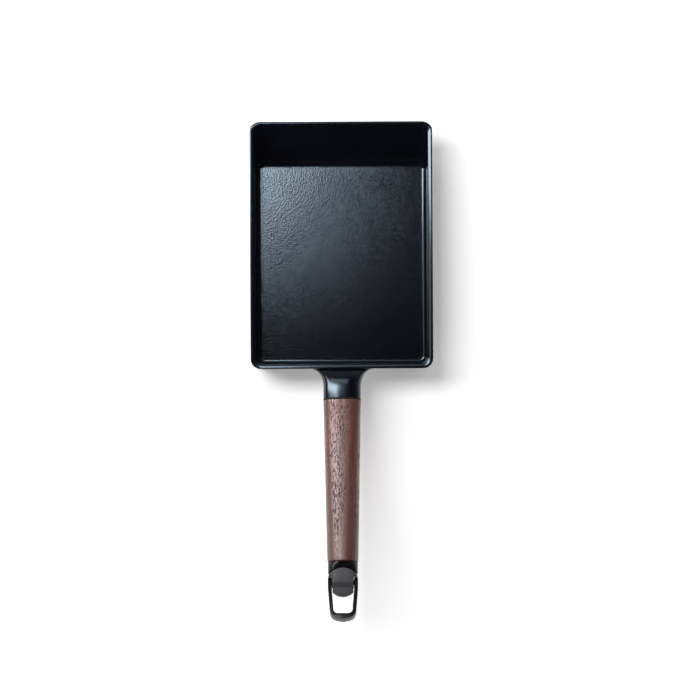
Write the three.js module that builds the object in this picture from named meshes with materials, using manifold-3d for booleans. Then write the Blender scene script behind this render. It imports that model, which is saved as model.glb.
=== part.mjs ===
// Tamagoyaki pan: an oblong cast-iron egg pan with a walnut grip and a hanging ring.
// Millimetres, +Z up. The origin is the middle of the flat base, and the handle runs out along -Y.

import * as THREE from "three";
import { mergeVertices } from "three/addons/utils/BufferGeometryUtils.js";
import Module from "manifold-3d";

const kernel = await Module();
kernel.setup();

const degrees = THREE.MathUtils.degToRad;
const lerp = THREE.MathUtils.lerp;

// Driving dimensions: every size is written once here, and the rest is worked out from these.

// Tub, cast iron
const rimWidth = 146;
const rimLength = 197.5;
const rimHeight = 39;
const wallThickness = 3.6;
const floorThickness = 4;
const rimCornerRadius = 8;
const innerCornerRadius = 6;
const sideDraft = degrees(1.2);
const nearDraft = degrees(0.8);
const farSlope = degrees(37.5);
const floorFillet = 3;
const farFillet = 9;
const baseFillet = 6;
const rimEdgeRadius = 0.6;
const rimFarEdgeRadius = 2.6;
const rimLipRadius = 0.67;
const rimFall = degrees(24);

// Neck, cast in one with the tub
const neckReach = 26;
const neckRootBelowRim = 15;
const neckRootRise = degrees(60);
const neckRootPull = 0.25;
const neckJointPull = 0.75;
const neckWaistThickness = 19.5;
const neckSideFillet = 19;
const neckTopFillet = 4;

// Grip, walnut
const handleRise = degrees(12);
const jointBelowRim = 1.5;
const gripLength = 128.4;
const gripFrontWidth = 30;
const gripFrontThickness = 20;
const gripFrontSquareness = 3;
const gripRearWidth = 24.5;
const gripRearThickness = 21;
const gripRearSquareness = 2.1;
const gripSag = 3;
const gripEdgeRound = 0.8;
const gasketThickness = 0.8;

// Fastening inside the grip
const rodDiameter = 6;
const rodInNeck = 11;
const rodInKnob = 7;
const dowelDiameter = 3;
const dowelBelowRod = 6.2;
const dowelInNeck = 6;
const dowelInGrip = 8;

// Knob and hanging ring
const ferruleBack = 4.8;
const ferruleHorn = 1.4;
const knobBackReach = 11;
const knobBackRadius = 14;
const knobTipReach = 11;
const knobWidth = 16.4;
const knobCapHeight = 17.2;
const knobSquareness = 4;
const knobCapReach = 0.2;
const knobSlope = 3.8;
const knobTongueHeight = 11.6;
const ringPinDiameter = 4;
const washerDiameter = 9;
const washerThickness = 0.5;
const ringBar = 2.9;
const ringTipWidth = 20.8;
const ringLength = 31.4;
const ringCornerRadius = 7;
const ringBow = 1.4;
const ringDepth = 8.5;
const ringLift = degrees(18);

// Clearances
const fit = 0.3;
const slip = 0.1;
const swing = 0.6;

// Facets
const cornerSteps = 10;
const filletSteps = 6;
const rimSteps = 3;
const sectionPoints = 48;
const roundFacets = 40;

// The rim is measured half a wall below its top, and the walls lean out from a base centred on the origin.
const wallHeight = rimHeight - wallThickness / 2;
const baseShift = wallHeight * (Math.tan(farSlope) - Math.tan(nearDraft));
const rimNear = -(rimLength - baseShift) / 2;
const rimFar = rimNear + rimLength;

// The handle's own frame: its origin is the middle of the grip's front face, its -Y runs out along the tie
// rod and its +Z is the top of the grip.
const handle = new THREE.Group();
handle.name = "handle";
handle.position.set(0, rimNear - neckReach, rimHeight - jointBelowRim);
handle.rotation.x = -handleRise;
handle.updateMatrix();

// Places along the handle, as distances out from the grip's front face
const neckFace = -(gasketThickness + 2 * fit);
const ferruleStart = gripLength + fit;
const pivot = ferruleStart + ferruleBack + fit + knobBackReach;
const ringInner = knobWidth / 2 + washerThickness + 2 * slip;
const ringOuter = ringInner + ringBar;
const ringEyeRadius = ringDepth / 2;
const pocketBack = pivot - ringEyeRadius - swing;
const knobBackCentre = pivot - knobBackReach + knobBackRadius;
const cradleHalfWidth = ringOuter - ferruleHorn;
const ferruleFront = knobBackCentre - Math.sqrt((knobBackRadius + fit) ** 2 - cradleHalfWidth ** 2);
const taperStart = washerDiameter / 2 + slip;

// Turns a closed geometry into a solid for joining and cutting.
function solidOf(geometry) {
  const bare = new THREE.BufferGeometry();
  bare.setAttribute("position", geometry.getAttribute("position"));
  bare.setIndex(geometry.index);
  const merged = mergeVertices(bare, 1e-4);
  const mesh = new kernel.Mesh({
    numProp: 3,
    vertProperties: new Float32Array(merged.getAttribute("position").array),
    triVerts: new Uint32Array(merged.index.array),
  });
  return new kernel.Manifold(mesh);
}

// Turns a solid back into a geometry.
function geometryOf(solid) {
  const mesh = solid.getMesh();
  const geometry = new THREE.BufferGeometry();
  geometry.setAttribute("position", new THREE.BufferAttribute(mesh.vertProperties, 3));
  geometry.setIndex(new THREE.BufferAttribute(mesh.triVerts, 1));
  geometry.computeVertexNormals();
  return geometry;
}

// Skins a row of rings with equal point counts, and closes both ends with a fan from the middle.
// Each ring runs counter-clockwise seen from the side that the row runs towards.
function loft(rings) {
  const count = rings[0].length;
  const points = rings.flat();
  const faces = [];
  for (let row = 0; row + 1 < rings.length; row += 1) {
    for (let i = 0; i < count; i += 1) {
      const a = row * count + i;
      const b = row * count + ((i + 1) % count);
      faces.push(a, b, b + count, a, b + count, a + count);
    }
  }
  const lastRow = (rings.length - 1) * count;
  const firstMiddle = points.push(middleOf(rings[0])) - 1;
  const lastMiddle = points.push(middleOf(rings[rings.length - 1])) - 1;
  for (let i = 0; i < count; i += 1) {
    const next = (i + 1) % count;
    faces.push(firstMiddle, next, i);
    faces.push(lastMiddle, lastRow + i, lastRow + next);
  }
  const geometry = new THREE.BufferGeometry().setFromPoints(points);
  geometry.setIndex(faces);
  return geometry;
}

function middleOf(ring) {
  const sum = ring.reduce((total, point) => total.add(point), new THREE.Vector3());
  return sum.divideScalar(ring.length);
}

// A round bar along the handle between two distances from the grip's front face.
function barAlongHandle(radius, from, to, below = 0) {
  const bar = new THREE.CylinderGeometry(radius, radius, to - from, roundFacets);
  return bar.translate(0, -(from + to) / 2, -below);
}

// A round bar along X, centred on the ring's pivot.
function barAcross(radius, from, to) {
  const bar = new THREE.CylinderGeometry(radius, radius, to - from, roundFacets);
  bar.rotateZ(Math.PI / 2);
  return bar.translate((from + to) / 2, 0, 0);
}

// The points of a rounded rectangle at one height, counter-clockwise from the far right corner.
function roundedOutline(halfWidth, near, far, nearRadius, farRadius, height) {
  const corners = [
    [halfWidth - farRadius, far - farRadius, farRadius],
    [farRadius - halfWidth, far - farRadius, farRadius],
    [nearRadius - halfWidth, near + nearRadius, nearRadius],
    [halfWidth - nearRadius, near + nearRadius, nearRadius],
  ];
  const points = [];
  for (let step = 0; step < outwardAngles.length; step += 1) {
    const [x, y, radius] = corners[Math.floor(step / (cornerSteps + 1))];
    const angle = outwardAngles[step];
    points.push(new THREE.Vector3(x + radius * Math.cos(angle), y + radius * Math.sin(angle), height));
  }
  return points;
}

// The direction that each outline point faces, by corner and by step within the corner.
const outwardAngles = [];
for (let corner = 0; corner < 4; corner += 1) {
  for (let step = 0; step <= cornerSteps; step += 1) {
    outwardAngles.push(((corner + step / cornerSteps) * Math.PI) / 2);
  }
}

// A rounded inside or outside edge: an arc from the level surface to the wall, tangent to both.
function filletArc(edge, levelDirection, wallDirection, radius) {
  const angle = levelDirection.angleTo(wallDirection);
  const tangent = radius / Math.tan(angle / 2);
  const weight = Math.sin(angle / 2);
  const start = edge.clone().addScaledVector(levelDirection, tangent);
  const end = edge.clone().addScaledVector(wallDirection, tangent);
  const points = [];
  for (let step = 0; step <= filletSteps; step += 1) {
    const u = step / filletSteps;
    const shares = [(1 - u) * (1 - u), 2 * u * (1 - u) * weight, u * u];
    const point = new THREE.Vector3();
    point.addScaledVector(start, shares[0]).addScaledVector(edge, shares[1]).addScaledVector(end, shares[2]);
    points.push(point.divideScalar(shares[0] + shares[1] + shares[2]));
  }
  return points;
}

// The fillet arcs all round a sharp edge outline, one arc for each outline point.
function filletAround(edge, wallEdge, radiusAt) {
  return edge.map((point, i) => {
    const outward = new THREE.Vector3(Math.cos(outwardAngles[i]), Math.sin(outwardAngles[i]), 0);
    const wall = wallEdge[i].clone().sub(point);
    const wallDirection = outward.clone().multiplyScalar(wall.dot(outward)).setZ(wall.z).normalize();
    return filletArc(point, outward.clone().negate(), wallDirection, radiusAt(outwardAngles[i]));
  });
}

// The inside fillet grows from the side walls to the sloping far wall.
function insideFillet(angle) {
  return lerp(floorFillet, farFillet, THREE.MathUtils.smoothstep(Math.sin(angle), 0, 1));
}

// The rim's section at a place that faces one way, from the outside to the inside: a tight edge, a crown
// that falls inwards and a small lip. Each step gives the distance in from the outside, and the height.
function rimProfile(angle) {
  const edge = lerp(rimEdgeRadius, rimFarEdgeRadius, THREE.MathUtils.smoothstep(Math.sin(angle), 0, 1));
  const crown = wallThickness - edge - rimLipRadius * (1 - Math.sin(rimFall));
  const crownRadius = crown / Math.sin(rimFall);
  const lipStart = rimHeight - crownRadius * (1 - Math.cos(rimFall));
  const profile = [];
  for (let step = 0; step < rimSteps; step += 1) {
    const turn = ((Math.PI / 2) * step) / rimSteps;
    profile.push([edge * (1 - Math.cos(turn)), rimHeight - edge * (1 - Math.sin(turn))]);
  }
  for (let step = 0; step < rimSteps; step += 1) {
    const fall = (rimFall * step) / rimSteps;
    profile.push([edge + crownRadius * Math.sin(fall), rimHeight - crownRadius * (1 - Math.cos(fall))]);
  }
  for (let step = 0; step <= rimSteps; step += 1) {
    const fall = lerp(rimFall, Math.PI / 2, step / rimSteps);
    const inward = edge + crown + rimLipRadius * (Math.sin(fall) - Math.sin(rimFall));
    profile.push([inward, lipStart - rimLipRadius * (Math.cos(rimFall) - Math.cos(fall))]);
  }
  return profile;
}

// The tub: a skin that runs from the base up the outside, over the rim and down to the cooking floor.
function tubSkin() {
  const inset = (height, slope) => (wallHeight - height) * Math.tan(slope);
  const outline = (margin, nearRadius, farRadius, height) =>
    roundedOutline(
      rimWidth / 2 - margin - inset(height, sideDraft),
      rimNear + margin + inset(height, nearDraft),
      rimFar - margin - inset(height, farSlope),
      nearRadius,
      farRadius,
      height,
    );
  const baseCornerRadius = Math.max(rimCornerRadius, baseFillet + 1);
  const farFilletReach = farFillet * Math.tan((Math.PI / 2 - farSlope) / 2);
  const nearCornerRadius = Math.max(innerCornerRadius, floorFillet + 1);
  const farCornerRadius = Math.max(nearCornerRadius, farFilletReach + 1);
  const rimOutside = outline(0, rimCornerRadius, rimCornerRadius, wallHeight);
  const rimInside = outline(wallThickness, innerCornerRadius, innerCornerRadius, wallHeight);
  const baseEdge = outline(0, baseCornerRadius, baseCornerRadius, 0);
  const floorEdge = outline(wallThickness, nearCornerRadius, farCornerRadius, floorThickness);
  const outside = filletAround(baseEdge, rimOutside, () => baseFillet);
  const inside = filletAround(floorEdge, rimInside, insideFillet);
  const rings = [];
  for (let step = 0; step <= filletSteps; step += 1) {
    rings.push(outside.map((arc) => arc[step]));
  }
  const profiles = outwardAngles.map(rimProfile);
  for (let step = 0; step < profiles[0].length; step += 1) {
    rings.push(profiles.map((profile, i) => {
      const [inward, height] = profile[step];
      const share = (height - floorThickness) / (wallHeight - floorThickness);
      const onOutside = baseEdge[i].clone().lerp(rimOutside[i], height / wallHeight);
      const onInside = floorEdge[i].clone().lerp(rimInside[i], share);
      return onOutside.lerp(onInside, inward / wallThickness);
    }));
  }
  for (let step = filletSteps; step >= 0; step -= 1) {
    rings.push(inside.map((arc) => arc[step]));
  }
  return loft(rings);
}

// A closed section with flattened sides: squareness 2 is an ellipse, and more is squarer.
function section(centre, up, width, thickness, squareness) {
  const points = [];
  const power = 2 / squareness;
  for (let i = 0; i < sectionPoints; i += 1) {
    const angle = (2 * Math.PI * i) / sectionPoints;
    const across = (width / 2) * Math.sign(Math.cos(angle)) * Math.abs(Math.cos(angle)) ** power;
    const above = (thickness / 2) * Math.sign(Math.sin(angle)) * Math.abs(Math.sin(angle)) ** power;
    points.push(centre.clone().addScaledVector(up, above).setX(centre.x + across));
  }
  return points;
}

// How far a fillet of one radius stands out at a distance from the wall that it grows from.
function flare(distance, radius) {
  const rest = Math.max(0, radius - Math.max(0, distance));
  return radius - Math.sqrt(radius * radius - rest * rest);
}

// The neck: a bent, flared bar from the middle of the near wall to the face that the grip clamps on.
function neckSkin() {
  const rootHeight = rimHeight - neckRootBelowRim;
  const inWall = wallThickness / 2;
  const wallMiddle = rimNear + inWall + (wallHeight - rootHeight) * Math.tan(nearDraft);
  const start = new THREE.Vector3(0, wallMiddle, rootHeight);
  const end = new THREE.Vector3(0, -neckFace, 0).applyMatrix4(handle.matrix);
  const gripFrontRise = handleRise - Math.atan((4 * gripSag) / gripLength);
  const span = start.distanceTo(end);
  const heading = (rise) => new THREE.Vector3(0, -Math.cos(rise), Math.sin(rise));
  const path = new THREE.CubicBezierCurve3(
    start,
    start.clone().addScaledVector(heading(neckRootRise), neckRootPull * span),
    end.clone().addScaledVector(heading(gripFrontRise), -neckJointPull * span),
    end,
  );
  const length = path.getLength();
  const clear = length - inWall;
  const sideFillet = Math.min(neckSideFillet, 0.9 * clear);
  const distances = [-inWall];
  for (let step = 0; step <= filletSteps; step += 1) {
    distances.push(sideFillet * (1 - Math.cos((Math.PI / 2) * (step / filletSteps))));
  }
  for (let step = 1; step <= filletSteps; step += 1) {
    distances.push(lerp(sideFillet, clear, step / filletSteps));
  }
  const rings = distances.map((distance) => {
    const along = Math.min(1, (distance + inWall) / length);
    const lean = lerp(-nearDraft, handleRise, THREE.MathUtils.smoothstep(along, 0, 1));
    const up = new THREE.Vector3(0, Math.sin(lean), Math.cos(lean));
    const width = gripFrontWidth + 2 * flare(distance, sideFillet);
    const waist = lerp(neckWaistThickness, gripFrontThickness, along);
    const thickness = waist + 2 * flare(distance, neckTopFillet);
    return section(path.getPointAt(along), up, width, thickness, gripFrontSquareness);
  });
  return loft(rings);
}

// The casting: tub and neck in one, with the rod's socket and the dowel's hole in the neck's face.
function panBody() {
  const socket = barAlongHandle(rodDiameter / 2 + fit, neckFace - rodInNeck - fit, 0);
  const dowelHole = barAlongHandle(dowelDiameter / 2 + fit, neckFace - dowelInNeck - fit, 0, dowelBelowRod);
  let solid = solidOf(tubSkin()).add(solidOf(neckSkin()));
  for (const hole of [socket, dowelHole]) {
    solid = solid.subtract(solidOf(hole.applyMatrix4(handle.matrix)));
  }
  return geometryOf(solid);
}

const up = new THREE.Vector3(0, 0, 1);

// The gasket: a thin plate of the neck face's outline, pierced for the rod and the dowel.
function neckGasket() {
  const ring = (distance) => {
    const centre = new THREE.Vector3(0, -distance, 0);
    return section(centre, up, gripFrontWidth, gripFrontThickness, gripFrontSquareness);
  };
  const plate = solidOf(loft([ring(neckFace + fit), ring(-fit)]));
  const rodHole = solidOf(barAlongHandle(rodDiameter / 2 + fit, neckFace, 0));
  const dowelHole = solidOf(barAlongHandle(dowelDiameter / 2 + fit, neckFace, 0, dowelBelowRod));
  return geometryOf(plate.subtract(rodHole).subtract(dowelHole));
}

// One section of the grip at a share of its length, drawn in by a margin for the rounded rear edge.
function gripSection(share, margin = 0) {
  const dip = 4 * gripSag * share * (1 - share);
  const centre = new THREE.Vector3(0, -gripLength * share, -dip);
  return section(
    centre,
    up,
    lerp(gripFrontWidth, gripRearWidth, share) - 2 * margin,
    lerp(gripFrontThickness, gripRearThickness, share) - 2 * margin,
    lerp(gripFrontSquareness, gripRearSquareness, share),
  );
}

// The grip: a tapered, gently hollow-backed bar whose section turns from squarish to round.
function grip() {
  const stations = 20;
  const rearRound = 1 - gripEdgeRound / gripLength;
  const rings = [];
  for (let step = 0; step <= stations; step += 1) {
    rings.push(gripSection((rearRound * step) / stations));
  }
  const roundSteps = 3;
  for (let step = 1; step <= roundSteps; step += 1) {
    const turn = ((Math.PI / 2) * step) / roundSteps;
    const share = 1 - (gripEdgeRound / gripLength) * (1 - Math.sin(turn));
    rings.push(gripSection(share, gripEdgeRound * (1 - Math.cos(turn))));
  }
  const rodHole = solidOf(barAlongHandle(rodDiameter / 2 + fit, -1, gripLength + 1));
  const dowelHole = solidOf(barAlongHandle(dowelDiameter / 2 + fit, -1, dowelInGrip + fit, dowelBelowRod));
  return geometryOf(solidOf(loft(rings)).subtract(rodHole).subtract(dowelHole));
}

// An upright drum about the middle of the knob's rounded back.
function drum(radius) {
  const shape = new THREE.CylinderGeometry(radius, radius, 2 * gripRearThickness, 2 * roundFacets);
  return solidOf(shape.rotateX(Math.PI / 2).translate(0, -knobBackCentre, 0));
}

// The ferrule: a cap on the wood's end, hollowed to a cradle that the knob sits in.
function endFerrule() {
  const ring = (distance, width) => {
    const centre = new THREE.Vector3(0, -distance, 0);
    const share = (distance - ferruleStart) / (ferruleFront - ferruleStart);
    const thickness = lerp(gripRearThickness - gripEdgeRound, knobCapHeight + gripEdgeRound, share);
    return section(centre, up, width, thickness, lerp(gripRearSquareness, knobSquareness, share));
  };
  const rearWidth = gripRearWidth - gripEdgeRound;
  const cap = solidOf(loft([ring(ferruleStart, rearWidth), ring(ferruleFront, 2 * ringOuter)]));
  const rodHole = solidOf(barAlongHandle(rodDiameter / 2 + fit, gripLength, pivot));
  return geometryOf(cap.subtract(drum(knobBackRadius + fit)).subtract(rodHole));
}

// A solid with one outline seen from above and another seen from the side, both drawn out along the handle.
function crossed(fromAbove, fromSide, height, width) {
  const options = (depth) => ({ depth, bevelEnabled: false, curveSegments: 16 });
  const across = new THREE.Vector3(1, 0, 0);
  const out = new THREE.Vector3(0, -1, 0);
  const flat = new THREE.ExtrudeGeometry(fromAbove, options(height)).translate(0, 0, -height / 2);
  flat.applyMatrix4(new THREE.Matrix4().makeBasis(across, out, up.clone().negate()));
  const side = new THREE.ExtrudeGeometry(fromSide, options(width)).translate(0, 0, -width / 2);
  side.applyMatrix4(new THREE.Matrix4().makeBasis(out, up, across.clone().negate()));
  return solidOf(flat).intersect(solidOf(side));
}

// The knob seen from above: a cap as wide as the ring, and a round-ended tongue between the ring's legs.
function knobOutline() {
  const tongue = knobWidth / 2;
  const endTurn = Math.acos(tongue / knobTipReach);
  const shape = new THREE.Shape();
  shape.moveTo(-ringOuter - 1, pivot - 2 * knobBackReach);
  shape.lineTo(ringOuter + 1, pivot - 2 * knobBackReach);
  shape.lineTo(ringOuter + 1, pocketBack);
  shape.lineTo(tongue, pocketBack);
  shape.absarc(0, pivot, knobTipReach, endTurn, Math.PI - endTurn, false);
  shape.lineTo(-tongue, pocketBack);
  shape.lineTo(-ringOuter - 1, pocketBack);
  shape.closePath();
  return shape;
}

// The knob seen from its side: the cap slopes down to the lower tongue, above and below alike.
function knobProfile() {
  const start = pivot - 2 * knobBackReach;
  const slopeStart = pivot + knobCapReach;
  const slopeEnd = slopeStart + knobSlope;
  const end = pivot + knobTipReach + 1;
  const shape = new THREE.Shape();
  shape.moveTo(start, -knobCapHeight);
  shape.lineTo(slopeStart, -knobCapHeight);
  shape.lineTo(slopeStart, -knobCapHeight / 2);
  shape.lineTo(slopeEnd, -knobTongueHeight / 2);
  shape.lineTo(end, -knobTongueHeight / 2);
  shape.lineTo(end, knobTongueHeight / 2);
  shape.lineTo(slopeEnd, knobTongueHeight / 2);
  shape.lineTo(slopeStart, knobCapHeight / 2);
  shape.lineTo(slopeStart, knobCapHeight);
  shape.lineTo(start, knobCapHeight);
  shape.closePath();
  return shape;
}

// The knob: round-shouldered like the ferrule, rounded at the back to sit in it, with a blind bore for the
// rod and a cross hole for the ring's pin.
function endKnob() {
  const ring = (distance) =>
    section(new THREE.Vector3(0, -distance, 0), up, 2 * ringOuter, knobCapHeight, knobSquareness);
  const bar = solidOf(loft([ring(pivot - 2 * knobBackReach), ring(pivot + 2 * knobTipReach)]));
  const block = crossed(knobOutline(), knobProfile(), 3 * knobCapHeight, 2 * ringOuter + 4).intersect(bar);
  const rodEnd = pivot - knobBackReach + rodInKnob + fit;
  const bore = solidOf(barAlongHandle(rodDiameter / 2 + fit, pivot - 2 * knobBackReach, rodEnd));
  const hole = barAcross(ringPinDiameter / 2 + fit, -ringOuter - 1, ringOuter + 1).translate(0, -pivot, 0);
  return geometryOf(block.intersect(drum(knobBackRadius)).subtract(bore).subtract(solidOf(hole)));
}

// A friction washer on one flat of the knob.
function ringWasher(side) {
  const inner = side * (knobWidth / 2 + slip);
  const outer = inner + side * washerThickness;
  const from = Math.min(inner, outer);
  const to = Math.max(inner, outer);
  const disc = solidOf(barAcross(washerDiameter / 2, from, to));
  const hole = solidOf(barAcross(ringPinDiameter / 2 + fit, from - 1, to + 1));
  return geometryOf(disc.subtract(hole)).translate(0, -pivot, 0);
}

// The ring seen square on: a strap bent to a U, with its legs running back to the pivot.
function ringOutline() {
  const tip = ringTipWidth / 2;
  const cornerStart = ringLength - ringCornerRadius - ringBow;
  const innerEnd = ringLength - ringBow - ringBar;
  const innerTip = tip - ringBar;
  const innerRadius = ringCornerRadius - ringBar;
  const shape = new THREE.Shape();
  shape.moveTo(-ringOuter, -ringEyeRadius);
  shape.lineTo(-ringInner, -ringEyeRadius);
  shape.lineTo(-ringInner, taperStart);
  shape.lineTo(-innerTip, innerEnd - innerRadius);
  shape.quadraticCurveTo(-innerTip, innerEnd, -innerTip + innerRadius, innerEnd);
  shape.lineTo(innerTip - innerRadius, innerEnd);
  shape.quadraticCurveTo(innerTip, innerEnd, innerTip, innerEnd - innerRadius);
  shape.lineTo(ringInner, taperStart);
  shape.lineTo(ringInner, -ringEyeRadius);
  shape.lineTo(ringOuter, -ringEyeRadius);
  shape.lineTo(ringOuter, taperStart);
  shape.lineTo(tip, cornerStart);
  shape.quadraticCurveTo(tip, ringLength - ringBow, tip - ringCornerRadius, ringLength - ringBow / 2);
  shape.quadraticCurveTo(0, ringLength + ringBow / 2, ringCornerRadius - tip, ringLength - ringBow / 2);
  shape.quadraticCurveTo(-tip, ringLength - ringBow, -tip, cornerStart);
  shape.lineTo(-ringOuter, taperStart);
  shape.closePath();
  return shape;
}

// The ring seen from its side: a strap with a round eye at the pivot.
function ringProfile() {
  const shape = new THREE.Shape();
  shape.moveTo(ringLength + 1, -ringEyeRadius);
  shape.lineTo(ringLength + 1, ringEyeRadius);
  shape.lineTo(0, ringEyeRadius);
  shape.absarc(0, 0, ringEyeRadius, Math.PI / 2, (3 * Math.PI) / 2, false);
  shape.closePath();
  return shape;
}

// The hanging ring, about its own pivot: what the outline and the side profile have in common.
function hangingRing() {
  const strap = crossed(ringOutline(), ringProfile(), 2 * ringDepth, 2 * ringOuter + 2);
  const pinHole = solidOf(barAcross(ringPinDiameter / 2 + fit, -ringOuter - 1, ringOuter + 1));
  return geometryOf(strap.subtract(pinHole));
}

function finish(color, roughness, metalness) {
  return new THREE.MeshStandardMaterial({ color, roughness, metalness });
}

function piece(name, geometry, material) {
  const mesh = new THREE.Mesh(geometry, material);
  mesh.name = name;
  return mesh;
}

const crossPin = barAcross(ringPinDiameter / 2, -ringOuter + slip, ringOuter - slip).translate(0, -pivot, 0);
const rod = barAlongHandle(rodDiameter / 2, neckFace - rodInNeck, pivot - knobBackReach + rodInKnob);
const dowel = barAlongHandle(dowelDiameter / 2, neckFace - dowelInNeck, dowelInGrip, dowelBelowRod);

const ring = new THREE.Group();
ring.name = "ring";
ring.position.set(0, -pivot, 0);
ring.rotation.x = -ringLift;
ring.add(piece("hanging_ring", hangingRing(), finish(0x17181b, 0.45, 0.3)));

handle.add(
  piece("neck_gasket", neckGasket(), finish(0x111111, 0.8, 0)),
  piece("grip", grip(), finish(0x6b4638, 0.55, 0)),
  piece("tie_rod", rod, finish(0xb8bac0, 0.35, 1)),
  piece("dowel", dowel, finish(0xb8bac0, 0.35, 1)),
  piece("end_ferrule", endFerrule(), finish(0x141518, 0.45, 0.3)),
  piece("end_knob", endKnob(), finish(0x202226, 0.4, 0.3)),
  piece("ring_pin", crossPin, finish(0x2a2b2f, 0.4, 0.8)),
  piece("ring_washer_left", ringWasher(-1), finish(0x1b1b1b, 0.7, 0)),
  piece("ring_washer_right", ringWasher(1), finish(0x1b1b1b, 0.7, 0)),
  ring,
);

const pan = new THREE.Group();
pan.name = "tamagoyaki_pan";
pan.add(piece("pan_body", panBody(), finish(0x14161b, 0.35, 0.1)), handle);

export default pan;
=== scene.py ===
"""Tamagoyaki pan: an oblong black egg pan with a walnut grip and a hanging ring, on a white table.

Sizes are written in millimetres, as in the solid model, and become metres when a mesh is made.
"""

import math

import bmesh
import bpy
import numpy as np
from mathutils import Matrix, Vector, noise


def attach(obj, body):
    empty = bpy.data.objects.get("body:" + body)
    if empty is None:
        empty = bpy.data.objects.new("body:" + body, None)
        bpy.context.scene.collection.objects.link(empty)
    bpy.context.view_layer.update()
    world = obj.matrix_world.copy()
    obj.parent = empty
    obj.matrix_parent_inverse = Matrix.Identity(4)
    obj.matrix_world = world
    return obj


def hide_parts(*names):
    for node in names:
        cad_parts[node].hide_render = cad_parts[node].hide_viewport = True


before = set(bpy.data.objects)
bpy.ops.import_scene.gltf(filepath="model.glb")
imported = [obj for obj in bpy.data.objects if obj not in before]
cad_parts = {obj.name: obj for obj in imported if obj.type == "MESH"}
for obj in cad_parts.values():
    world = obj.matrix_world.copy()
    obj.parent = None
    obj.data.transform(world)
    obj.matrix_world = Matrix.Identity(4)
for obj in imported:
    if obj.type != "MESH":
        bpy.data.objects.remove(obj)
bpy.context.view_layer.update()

MM = 0.001

# Tub, a hair inside the solid one, whose far edge is faceted
SHY = 0.03
RIM_WIDTH = 146.0 - SHY
RIM_LENGTH = 197.5
RIM_HEIGHT = 39.0
WALL = 3.6
FLOOR = 4.0
RIM_CORNER = 8.0
INNER_CORNER = 6.0
CORNER_SPARE = 1.0
SIDE_DRAFT = math.radians(1.2)
NEAR_DRAFT = math.radians(0.8)
FAR_SLOPE = math.radians(37.5)
FLOOR_FILLET = 3.0
FAR_FILLET = 9.0
BASE_FILLET = 6.0
RIM_EDGE = 0.6
RIM_FAR_EDGE = 2.6
RIM_LIP = 0.67
RIM_FALL = math.radians(24)

# Cast grain of the cooking floor, as far as it is geometry
GRAIN_HEIGHT = 0.002
GRAIN_COARSE = 2.2
GRAIN_FINE = 1.3
GRAIN_COARSE_SHARE = 0.5
GRAIN_FINE_SHARE = 0.6
GRAIN_FINE_LAYER = 7.0

# Neck, cast in one with the tub
NECK_REACH = 26.0
NECK_ROOT_BELOW_RIM = 15.0
NECK_ROOT_RISE = math.radians(60)
NECK_ROOT_PULL = 0.25
NECK_JOINT_PULL = 0.75
NECK_WAIST = 19.5
NECK_SIDE_FILLET = 19.0
NECK_TOP_FILLET = 4.0
NECK_FLARE_SHARE = 0.9
NECK_FLARE_SHIFT = 0.12

# Grip, walnut
HANDLE_RISE = math.radians(12)
JOINT_BELOW_RIM = 1.5
GRIP_LENGTH = 128.4
FRONT_WIDTH = 30.0
FRONT_THICKNESS = 20.0
FRONT_SQUARENESS = 3.0
FRONT_ROUND = 0.3
REAR_WIDTH = 24.5
REAR_THICKNESS = 21.0
REAR_SQUARENESS = 2.1
GRIP_SAG = 3.0
EDGE_ROUND = 0.8
GASKET = 0.8

# Fastening inside the grip
ROD_RADIUS = 3.0
ROD_IN_NECK = 11.0
ROD_IN_KNOB = 7.0
DOWEL_RADIUS = 1.5
DOWEL_BELOW_ROD = 6.2
DOWEL_IN_NECK = 6.0
DOWEL_IN_GRIP = 8.0

# Knob and hanging ring
FERRULE_BACK = 4.8
FERRULE_HORN = 1.4
FERRULE_LIP = 0.45
FERRULE_CORE = 0.4
KNOB_REACH = 11.0
KNOB_BACK = 14.0
KNOB_WIDTH = 16.4
KNOB_HEIGHT = 17.2
KNOB_SQUARENESS = 4.0
KNOB_CAP_REACH = 0.2
KNOB_SLOPE = 3.8
KNOB_TONGUE = 11.6
KNOB_EDGE = 0.5
PIN_RADIUS = 2.0
WASHER_DIAMETER = 9.0
WASHER_THICKNESS = 0.5
RING_BAR = 2.9
RING_TIP_WIDTH = 20.8
RING_LENGTH = 31.4
RING_CORNER = 7.0
RING_BOW = 1.4
RING_DEPTH = 8.5
RING_LIFT = math.radians(18)
RING_EDGE = 0.4

# Clearances, how far a cutting tool reaches past what it cuts, and how many times deeper it is
FIT = 0.3
SLIP = 0.1
SWING = 0.6
OVERCUT = 1.0
TOOL_DEPTH = 4

# Facets, and how points are welded and edges rounded
CORNER_STEPS = 14
LONG_STEPS = 150
SHORT_STEPS = 120
FILLET_STEPS = 12
RIM_STEPS = 8
BASE_STEPS = 10
FLOOR_STEPS = 64
GRAIN_FADE_STEPS = 3
PATH_STEPS = 400
FLARE_STEPS = 20
NECK_STEPS = 8
NECK_POINTS = 96
SECTION_POINTS = 120
FRONT_STEPS = 4
GRIP_STEPS = 70
REAR_STEPS = 5
FERRULE_STEPS = 8
LIP_STEPS = 4
CRADLE_STEPS = 14
BAR_STEPS = 48
DRUM_STEPS = 160
TONGUE_STEPS = 48
EYE_STEPS = 32
BEND_STEPS = 14
EDGE_SEGMENTS = 3
EDGE_ANGLE = 35
WELD_METRES = 1e-6

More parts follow.
